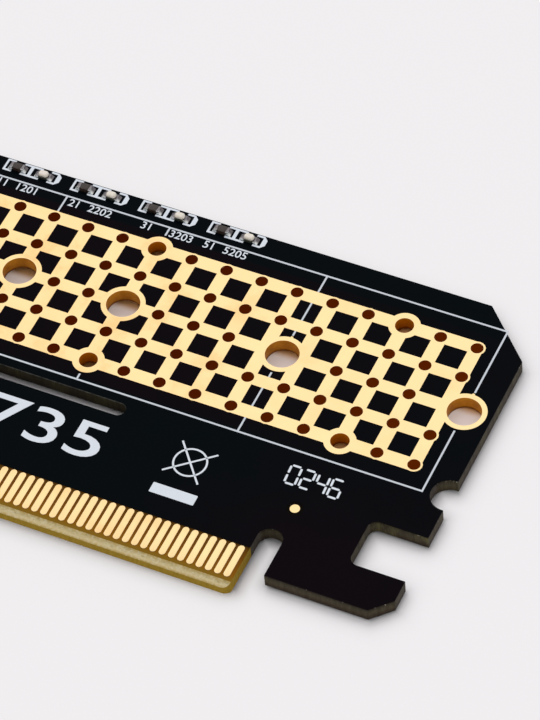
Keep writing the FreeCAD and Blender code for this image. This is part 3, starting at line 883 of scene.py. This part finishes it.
class CARD_OT_chip_outlines(bpy.types.Operator):
    """White lines printed round the ends of the lamps and their resistors"""
    bl_idname = "card.chip_outlines"
    bl_label = "Chip outlines"

    height: length("Outline height", "Height of the lines round a pair", 1.62 * MM)
    rise: length("Rise", "Height of the lines' middle above the chips' axis", 0.14 * MM)
    clip: length("Clipped corners", "Cut at the corners of the last line", 0.44 * MM)

    def bracket(self, left, right, arm_left, arm_right, clip):
        """An upright bar with two arms to the left, to the right or to both sides of it."""
        ink = card_print()
        level = mask_level()
        half = self.height / 2
        shoulder = half - ink.line_width
        piece = block("outline", (left, -half, level), (right, half, level + ink.ink_thickness))
        if clip:
            bevel_edges(piece, lambda edge: upright(edge) and abs(middle(edge).x - right) < TOUCH, clip, 1)
        for end in (-1, 1):
            pick(piece, "VERT", lambda vertex: True)
            bpy.ops.mesh.bisect(plane_co=(0, end * shoulder, 0), plane_no=(0, 1, 0))
            leave()
        for side, start, tip in ((-1, left, arm_left), (1, right, arm_right)):
            if tip is None:
                continue

            def arm_foot(face):
                centre = middle(face)
                outward = abs(face.normal.x - side) < 0.01
                return outward and abs(centre.x - start) < TOUCH and abs(centre.y) > shoulder

            pick(piece, "FACE", arm_foot)
            extrude(x=tip - start)
            leave()
        return piece

    def execute(self, context):
        shapes = (
            (-4.67 * MM, -4.43 * MM, None, -3.68 * MM, 0.0),
            (-1.84 * MM, -1.46 * MM, -2.62 * MM, -0.46 * MM, 0.0),
            (1.34 * MM, 1.84 * MM, 0.56 * MM, None, self.clip),
        )
        places = [(x, y + self.rise, 0) for x, y in pair_centres("lamp_terminals")]
        rows = [repeated("outline_row", self.bracket(*shape), places) for shape in shapes]
        settle(joined("chip-outline-print", rows), white_ink, "print")
        return {"FINISHED"}


def printed_text(name, body, height, place, weight, width=None):
    """Numerals as a thin raised print, the foot of their left end at a place on the mask."""
    deselect()
    bpy.ops.object.text_add(location=(0, 0, 0))
    text = bpy.context.object
    text.data.body = body
    text.data.size = height * 1.4
    text.data.offset = weight
    text.data.resolution_u = 5
    text.data.extrude = card_print().ink_thickness / 2
    bpy.ops.object.convert(target="MESH")
    piece = bpy.context.object
    piece.name = name
    corners = [vertex.co for vertex in piece.data.vertices]
    left = min(corner.x for corner in corners)
    foot = min(corner.y for corner in corners)
    share = height / (max(corner.y for corner in corners) - foot)
    along = width / (max(corner.x for corner in corners) - left) if width else share
    level = mask_level() + card_print().ink_thickness / 2
    grown = Matrix.Diagonal((along, share, 1, 1)) @ Matrix.Translation((-left, -foot, 0))
    piece.data.transform(Matrix.Translation((place[0], place[1], level)) @ grown)
    return piece


class CARD_OT_numerals(bpy.types.Operator):
    """Plain numbers printed below the chip parts and above the contacts"""
    bl_idname = "card.numerals"
    bl_label = "Printed numbers"

    drop: length("Drop", "Foot of the small numbers below the chips' axis", 2.72 * MM)

    # Each pair's number, and where its two labels start, from the lamp's centre
    LABELS = ((1, -4.2 * MM, -2.0 * MM), (2, -3.9 * MM, -1.6 * MM), (3, -3.4 * MM, -0.1 * MM),
              (5, -4.2 * MM, -1.9 * MM))
    LARGE = "12735"
    LARGE_PLACE = (32.4 * MM, 9.0 * MM)
    LARGE_WIDTH = 20.8 * MM

    def execute(self, context):
        ink = card_print()
        parts = []
        for (number, first, second), (x, y) in zip(self.LABELS, pair_centres("lamp_terminals")):
            for body, start in ((f"{number}1", first), (f"{number}20{number}", second)):
                place = (x + start, y - self.drop)
                parts.append(printed_text("chip_number", body, ink.chip_numeral, place, 0.01 * MM))
        settle(joined("chip-number-print", parts), white_ink, "print")
        large = printed_text("large-number-print", self.LARGE, ink.large_numeral, self.LARGE_PLACE,
                             0.03 * MM, self.LARGE_WIDTH)
        settle(large, white_ink, "print")
        return {"FINISHED"}


class CARD_OT_segment_numerals(bpy.types.Operator):
    """Plain seven-segment numbers near the hook"""
    bl_idname = "card.segment_numerals"
    bl_label = "Segment numbers"

    digits: bpy.props.StringProperty(name="Digits", default="0246")

    LIT = {"0": "abcdef", "2": "abged", "4": "fgbc", "6": "afgecd"}
    PLACE = Vector((72.45 * MM, 14.9 * MM, 0))
    WIDTH, THICK, PITCH = 0.50, 0.105, 0.68  # shares of the height
    SLANT = -0.06

    def bar(self, length, thick):
        """One segment, lying along X about the origin, with pointed ends."""
        level = mask_level()
        half = length / 2
        top = level + card_print().ink_thickness
        bar = block("segment", (-half, -thick / 2, level), (half, thick / 2, top))
        return bevel_edges(bar, upright, thick * 0.42, 2)

    def execute(self, context):
        height = card_print().segment_numeral
        width = height * self.WIDTH
        thick = height * self.THICK
        across, along = width - thick * 0.9, height / 2 - thick * 0.9
        places = {"a": (0, height / 2, 0), "g": (0, 0, 0), "d": (0, -height / 2, 0),
                  "f": (-width / 2, height / 4, 1), "b": (width / 2, height / 4, 1),
                  "e": (-width / 2, -height / 4, 1), "c": (width / 2, -height / 4, 1)}
        parts = []
        for index, digit in enumerate(self.digits):
            for letter in self.LIT[digit]:
                x, y, standing = places[letter]
                bar = self.bar(along if standing else across, thick)
                if standing:
                    bar.data.transform(Matrix.Rotation(math.pi / 2, 4, "Z"))
                bar.data.transform(Matrix.Translation((x + index * height * self.PITCH, y, 0)))
                parts.append(bar)
        piece = joined("segment-number-print", parts)
        slant = Matrix.Identity(4)
        slant[0][1] = self.SLANT
        piece.data.transform(Matrix.Translation(self.PLACE) @ slant)
        settle(piece, white_ink, "print")
        return {"FINISHED"}


class CARD_OT_register_mark(bpy.types.Operator):
    """A printed register mark: a crossed ring over a solid bar"""
    bl_idname = "card.register_mark"
    bl_label = "Register mark"

    radius: length("Radius", "Outer radius of the ring", 1.8 * MM)
    line: length("Line", "Width of the ring and the arms", 0.20 * MM)
    arm: length("Arm length", "From the ring's centre to an arm's tip", 2.9 * MM)

    PLACE = (62.3 * MM, 12.5 * MM, 0)
    TURN = math.radians(40)
    BAR_LOW = (60.0 * MM, 7.74 * MM)
    BAR_HIGH = (64.85 * MM, 8.98 * MM)

    def ring(self, level, ink):
        deselect()
        bpy.ops.mesh.primitive_circle_add(vertices=48, radius=self.radius, fill_type="NOTHING",
                                          location=(0, 0, level))
        ring = bake_place(bpy.context.object)
        pick(ring, "EDGE", lambda edge: True)
        share = (self.radius - self.line) / self.radius
        bpy.ops.mesh.extrude_edges_move()
        bpy.ops.transform.resize(value=(share, share, 1), center_override=(0, 0, level))
        bpy.ops.mesh.select_all(action="SELECT")
        extrude(z=ink)
        bpy.ops.mesh.select_all(action="SELECT")
        bpy.ops.mesh.normals_make_consistent(inside=False)
        leave()
        return ring

    def execute(self, context):
        ink = card_print().ink_thickness
        level = mask_level()
        top = level + ink
        half = self.line / 2
        parts = [self.ring(level, ink), block("arm", (-self.arm, -half, level), (self.arm, half, top))]
        for side in (-1, 1):
            low, high = sorted((side * half, side * self.arm))
            parts.append(block("arm", (-half, low, level), (half, high, top)))
        mark = joined("register-mark-print", parts)
        mark.data.transform(Matrix.Translation(self.PLACE) @ Matrix.Rotation(self.TURN, 4, "Z"))
        settle(mark, white_ink, "print")
        bar = block("register-bar-print", (*self.BAR_LOW, level), (*self.BAR_HIGH, top))
        settle(bevel_edges(bar, upright, 0.08 * MM, 3), white_ink, "print")
        return {"FINISHED"}


class CARD_OT_chip_parts(bpy.types.Operator):
    """Lamps, resistors and capacitors with softened edges, on their solder"""
    bl_idname = "card.chip_parts"
    bl_label = "Chip parts"

    SOLDER_FALL, SOLDER_SAG = 0.86, 0.16  # shares of a fillet's height
    CAPACITOR_WIDTH = 1.25 * MM
    CAPACITORS = 4

    def solder(self, reach, width, height):
        """One fillet of solder against the right-hand end of a chip at the origin."""
        level = mask_level()
        bead = block("bead", (0, -width / 2, level), (reach, width / 2, level + height))
        pick(bead, "VERT", lambda v: v.co.x > reach * 0.9 and v.co.z > level + height * 0.5)
        bpy.ops.transform.translate(value=(0, 0, -height * self.SOLDER_FALL))
        leave()
        pick(bead, "FACE", lambda face: face.normal.z > 0.2)
        bpy.ops.mesh.subdivide(number_cuts=3)
        leave()
        for vertex in bead.data.vertices:
            if vertex.co.z > level + TOUCH:
                vertex.co.z -= math.sin(vertex.co.x / reach * math.pi) * height * self.SOLDER_SAG
        return smooth(bead, 50)

    def fillets(self, name, maker, places, length, width, height, reach):
        """Fillets at both ends of every chip of one kind."""
        ends = []
        for side in (1, -1):
            bead = self.solder(reach, width, height)
            if side < 0:
                bead.data.transform(Matrix.Rotation(math.pi, 4, "Z"))
            ends.append(repeated("fillets", bead, [(x + side * length / 2, y, 0) for x, y in places]))
        settle(joined(name, ends), maker, "solder")

    def execute(self, context):
        softened("lamp_resistor_bodies", 0.03 * MM, "resistor_black")
        softened("lamp_resistor_caps", 0.05 * MM, "solder", segments=3)
        softened("lamp_bases", 0.02 * MM, "lamp_carrier")
        softened("lamp_terminals", 0.04 * MM, "solder")
        softened("lamp_lenses", 0.17 * MM, "lamp_lens", lamp_resin, segments=4, corners=0.30 * MM)
        softened("capacitor_bodies", 0.06 * MM, "capacitor_tan", segments=3)
        softened("capacitor_caps", 0.10 * MM, "solder", segments=4)
        sizes = card_sizes()
        for node, name, height in (("lamp_resistor_caps", "resistor-solder", 0.34 * MM),
                                   ("lamp_terminals", "lamp-solder", 0.20 * MM)):
            self.fillets(name, small_tin, pair_centres(node), sizes.chip_length, sizes.chip_width * 1.05,
                         height, 0.24 * MM)
        low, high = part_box("capacitor_caps")
        step = (high.y - low.y - self.CAPACITOR_WIDTH) / (self.CAPACITORS - 1)
        first = low.y + self.CAPACITOR_WIDTH / 2
        places = [((low.x + high.x) / 2, first + n * step) for n in range(self.CAPACITORS)]
        self.fillets("capacitor-solder", tin, places, high.x - low.x, 1.3 * MM, 0.7 * MM, 0.34 * MM)
        return {"FINISHED"}


class CARD_OT_socket(bpy.types.Operator):
    """The drive socket's hold-downs, with softened edges"""
    bl_idname = "card.socket"
    bl_label = "Drive socket"

    def execute(self, context):
        softened("socket_hold_downs", 0.04 * MM, "solder")
        return {"FINISHED"}


class CARD_OT_bracket(bpy.types.Operator):
    """The folded bracket and its screws, with softened edges"""
    bl_idname = "card.bracket"
    bl_label = "Bracket"

    def execute(self, context):
        softened("mounting_bracket", 0.12 * MM, "bracket_steel", segments=3)
        softened("bracket_screws", 0.14 * MM, "screw_steel", segments=3)
        return {"FINISHED"}


# ---------------------------------------------------------------- stage

KEY_DIRECTION = Vector((-0.36, 0.52, 0.78)).normalized()
KEY_AIM = Vector((60 * MM, 25 * MM, 0))
KEY_DISTANCE = 0.9
SKY_COLOUR = (1.0, 0.995, 1.0, 1.0)
HORIZON_COLOUR = (0.86, 0.855, 0.865, 1.0)
FLOOR_SIZE = 8.0
DIAGONAL = 0.7071  # makes a distance of a step in x + y or x - y

# Rectangles of the floor in millimetres: what the card covers, and what shows through its holes
FOOTPRINTS = (((-59.6, -7.5), (-58.0, 71.7)), ((-69.6, 70.2), (-58.0, 71.7)), ((-57.15, 8.1), (81.8, 42.3)),
              ((81.8, 12.8), (85.9, 42.3)), ((85.9, 12.8), (87.9, 16.6)), ((85.9, 20.1), (87.9, 42.3)),
              ((-13.2, 1.35), (72.3, 8.2)), ((74.9, 2.9), (87.9, 7.2)))
HOLES = (((13.0, 15.0), (79.0, 38.4)), ((78.0, 26.0), (87.0, 31.5)))
TOP_CORNER = 124.5 * MM  # x + y along the board's clipped corner
HOOK_CORNER = 83.2 * MM  # x - y along the hook's clipped corner
SHADOW_REACH = 4 * MM

# Ramps away from the card: how much of its own tone the floor has back, and how dark its painted contact
# shadow is
LIFT = ((0.05, 0), (0.15, 0.11), (0.25, 0.34), (0.375, 0.64), (0.5, 0.80), (0.75, 1))
PAINTED_CONTACT_SHADOW = ((0.0, 0.62), (0.04, 0.80), (0.10, 0.94), (0.22, 1))
# Ramps across the card for the floor seen through the slit and the holes: painted bounce light, painted
# golden and amber light reflected from the gold, and a painted warm tone that shines
PAINTED_BOUNCE_LIGHT = ((0.35, 0), (0.36, 0.26), (0.368, 0.21), (0.374, 0), (0.57, 0), (0.58, 0.34), (0.660, 0.32),
          (0.668, 0.14), (0.675, 0))
PLAIN, PAINTED_GOLDEN_TINT, PAINTED_AMBER_TINT = (0.9, 0.88, 0.89), (0.92, 0.55, 0.22), (0.92, 0.55, 0.25)
PAINTED_WARM_TINTS = ((0.41, PLAIN), (0.42, PAINTED_GOLDEN_TINT), (0.55, PAINTED_GOLDEN_TINT), (0.56, PLAIN), (0.656, PLAIN), (0.672, PAINTED_AMBER_TINT))
PAINTED_GLOW_TONE = (0.87, 0.68, 0.59)


def floor_distance(paper, low, high):
    """Distance on the floor to a rectangle in millimetres."""
    x, y = paper.along("X"), paper.along("Y")
    over_x = (low[0] * MM - x).most(x - high[0] * MM).most(0.0)
    over_y = (low[1] * MM - y).most(y - high[1] * MM).most(0.0)
    return (over_x * over_x + over_y * over_y).root()


def floor_paper_painted_light(stage):
    """Pale paper that shades near the card, with a painted contact shadow at its edge, and shines back its
    own tone farther out; where it shows through the slit and the holes it has painted bounce light, and
    painted warm light under gold.
    """
    paper = Finish("floor_paper_painted_light", Roughness=0.8, Specular_IOR_Level=0.2)
    x, y = paper.along("X"), paper.along("Y")
    away = floor_distance(paper, *FOOTPRINTS[0])
    for footprint in FOOTPRINTS[1:]:
        away = away.least(floor_distance(paper, *footprint))
    away = away.most((x + y - TOP_CORNER) * DIAGONAL).most((x - y - HOOK_CORNER) * DIAGONAL)
    near = away / SHADOW_REACH
    across = y / CARD_DEPTH
    above = paper.facing("Z") > 0.0
    left, right = (floor_distance(paper, *hole) < 0.001 * MM for hole in HOLES)
    under = above * left.most(right)

    pale = tuple(stage.floor_colour)
    shade = paper.mix(paper.noise(0.5, 2.0), pale, toned(pale, 0.985))
    # painted contact shadow: the paper's colour is darkened close to the card's outline
    shade = paper.mix(above, shade, paper.ramp(near, *PAINTED_CONTACT_SHADOW), "MULTIPLY")
    # painted reflected light: the floor seen through the holes is tinted golden and amber in its base
    # colour
    paper.set(Base_Color=paper.mix(under, shade, paper.ramp(across, *PAINTED_WARM_TINTS)))

    backdrop = tuple(stage.backdrop)
    # painted light: the floor seen through the holes shines with a warm tone of its own
    painted_hole_glow = paper.ramp(across, (0.50, backdrop), (0.55, PAINTED_GLOW_TONE))
    backdrop_and_painted_glow = paper.node("ShaderNodeEmission", {}, {"Color": paper.mix(under, backdrop, painted_hole_glow)})
    # painted bounce light: the floor seen through the slit and the holes is lifted towards its shining tone
    lift = (paper.ramp(near, *LIFT) + under * paper.ramp(across, *PAINTED_BOUNCE_LIGHT) - 1.0) * above + 1.0
    rays = paper.node("ShaderNodeLightPath", {}, {}, "Is Camera Ray")
    glossy = paper.node("ShaderNodeLightPath", {}, {}, "Is Glossy Ray")
    seen = paper.node("ShaderNodeMixShader", {}, {0: (rays + glossy) * lift * stage.lift,
                                                  1: Value(paper, paper.shader.outputs[0]), 2: backdrop_and_painted_glow})
    paper.tree.links.new(seen.socket, paper.tree.nodes["Material Output"].inputs["Surface"])
    return paper.material


class CARD_OT_stage(bpy.types.Operator):
    """Camera, soft light and a pale floor that the card rests on"""
    bl_idname = "card.stage"
    bl_label = "Stage"

    def camera(self, stage):
        aim = Vector((stage.aim[0], stage.aim[1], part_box("thermal_grid")[1].z))
        flat = math.cos(stage.elevation)
        back = Vector((math.sin(stage.azimuth) * flat, -math.cos(stage.azimuth) * flat,
                       math.sin(stage.elevation)))
        data = bpy.data.cameras.new("camera")
        data.lens = stage.lens
        data.sensor_width = 36
        data.clip_start = 0.01
        data.clip_end = 20
        camera = bpy.data.objects.new("camera", data)
        bpy.context.scene.collection.objects.link(camera)
        level = (-back).to_track_quat("-Z", "Y")
        roll = Matrix.Rotation(stage.roll, 4, -back)
        place = Matrix.Translation(aim + back * stage.distance)
        camera.matrix_world = place @ roll @ level.to_matrix().to_4x4()
        bpy.context.scene.camera = camera

    def key(self, stage):
        """A large soft light behind the card, opposite the camera."""
        data = bpy.data.lights.new("key", "AREA")
        data.shape = "RECTANGLE"
        data.size = 1.1
        data.size_y = 0.9
        data.energy = stage.key_power
        lamp = bpy.data.objects.new("key", data)
        bpy.context.scene.collection.objects.link(lamp)
        lamp.location = KEY_AIM + KEY_DIRECTION * KEY_DISTANCE
        lamp.rotation_mode = "QUATERNION"
        lamp.rotation_quaternion = KEY_DIRECTION.to_track_quat("Z", "Y")

    def sky(self, stage):
        """Even light, and a pale horizon where the camera sees past the floor."""
        world = bpy.data.worlds.new("studio")
        bpy.context.scene.world = world
        world.use_nodes = True
        nodes = world.node_tree.nodes
        background = nodes["Background"]
        background.inputs["Color"].default_value = SKY_COLOUR
        background.inputs["Strength"].default_value = stage.sky
        seen = nodes.new("ShaderNodeBackground")
        seen.inputs["Color"].default_value = HORIZON_COLOUR
        seen.inputs["Strength"].default_value = 1.0
        rays = nodes.new("ShaderNodeLightPath")
        mix = nodes.new("ShaderNodeMixShader")
        links = world.node_tree.links
        links.new(rays.outputs["Is Camera Ray"], mix.inputs["Fac"])
        links.new(background.outputs[0], mix.inputs[1])
        links.new(seen.outputs[0], mix.inputs[2])
        links.new(mix.outputs[0], nodes["World Output"].inputs["Surface"])

    def floor(self, stage):
        """A floor just under the two lowest lines of the card."""
        bracket_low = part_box("mounting_bracket")[0]
        board_low, board_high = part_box("back_solder_mask")
        rest = board_low.z - stage.gap
        tilt = math.atan2(rest - bracket_low.z, board_high.x - bracket_low.x)
        deselect()
        bpy.ops.mesh.primitive_plane_add(size=FLOOR_SIZE)
        floor = bpy.context.object
        floor.name = "floor"
        floor.data.transform(Matrix.Translation((board_high.x, 0, rest)) @ Matrix.Rotation(-tilt, 4, "Y"))
        floor.data.materials.append(floor_paper_painted_light(stage))

    def execute(self, context):
        stage = context.scene.card_stage
        self.camera(stage)
        self.key(stage)
        self.sky(stage)
        self.floor(stage)
        context.scene.view_settings.view_transform = "Standard"
        return {"FINISHED"}


# ---------------------------------------------------------------- add-on

class CARD_PT_panel(bpy.types.Panel):
    """Sizes, colours and the pieces of the card"""
    bl_label = "Drive adapter card"
    bl_idname = "CARD_PT_panel"
    bl_space_type = "VIEW_3D"
    bl_region_type = "UI"
    bl_category = "Card"

    def draw(self, context):
        layout = self.layout
        for name, group in GROUPS.items():
            section = layout.box()
            section.label(text=group.__doc__)
            for setting in group.__annotations__:
                section.prop(getattr(context.scene, name), setting)
        for operator in OPERATORS:
            layout.operator(operator.bl_idname)


GROUPS = {
    "card_sizes": CardSizes,
    "card_print": CardPrint,
    "card_colours": CardColours,
    "card_stage": CardStage,
}
OPERATORS = (
    CARD_OT_finishes,
    CARD_OT_contacts,
    CARD_OT_vias,
    CARD_OT_chip_outlines,
    CARD_OT_numerals,
    CARD_OT_segment_numerals,
    CARD_OT_register_mark,
    CARD_OT_chip_parts,
    CARD_OT_socket,
    CARD_OT_bracket,
    CARD_OT_stage,
)


def register():
    for name, group in GROUPS.items():
        bpy.utils.register_class(group)
        setattr(bpy.types.Scene, name, bpy.props.PointerProperty(type=group))
    for operator in OPERATORS:
        bpy.utils.register_class(operator)
    bpy.utils.register_class(CARD_PT_panel)


def unregister():
    bpy.utils.unregister_class(CARD_PT_panel)
    for operator in reversed(OPERATORS):
        bpy.utils.unregister_class(operator)
    for name, group in GROUPS.items():
        delattr(bpy.types.Scene, name)
        bpy.utils.unregister_class(group)


def main():
    register()
    for operator in OPERATORS:
        family, name = operator.bl_idname.split(".")
        getattr(getattr(bpy.ops, family), name)()
    bpy.context.view_layer.update()


if __name__ == "__main__":
    main()
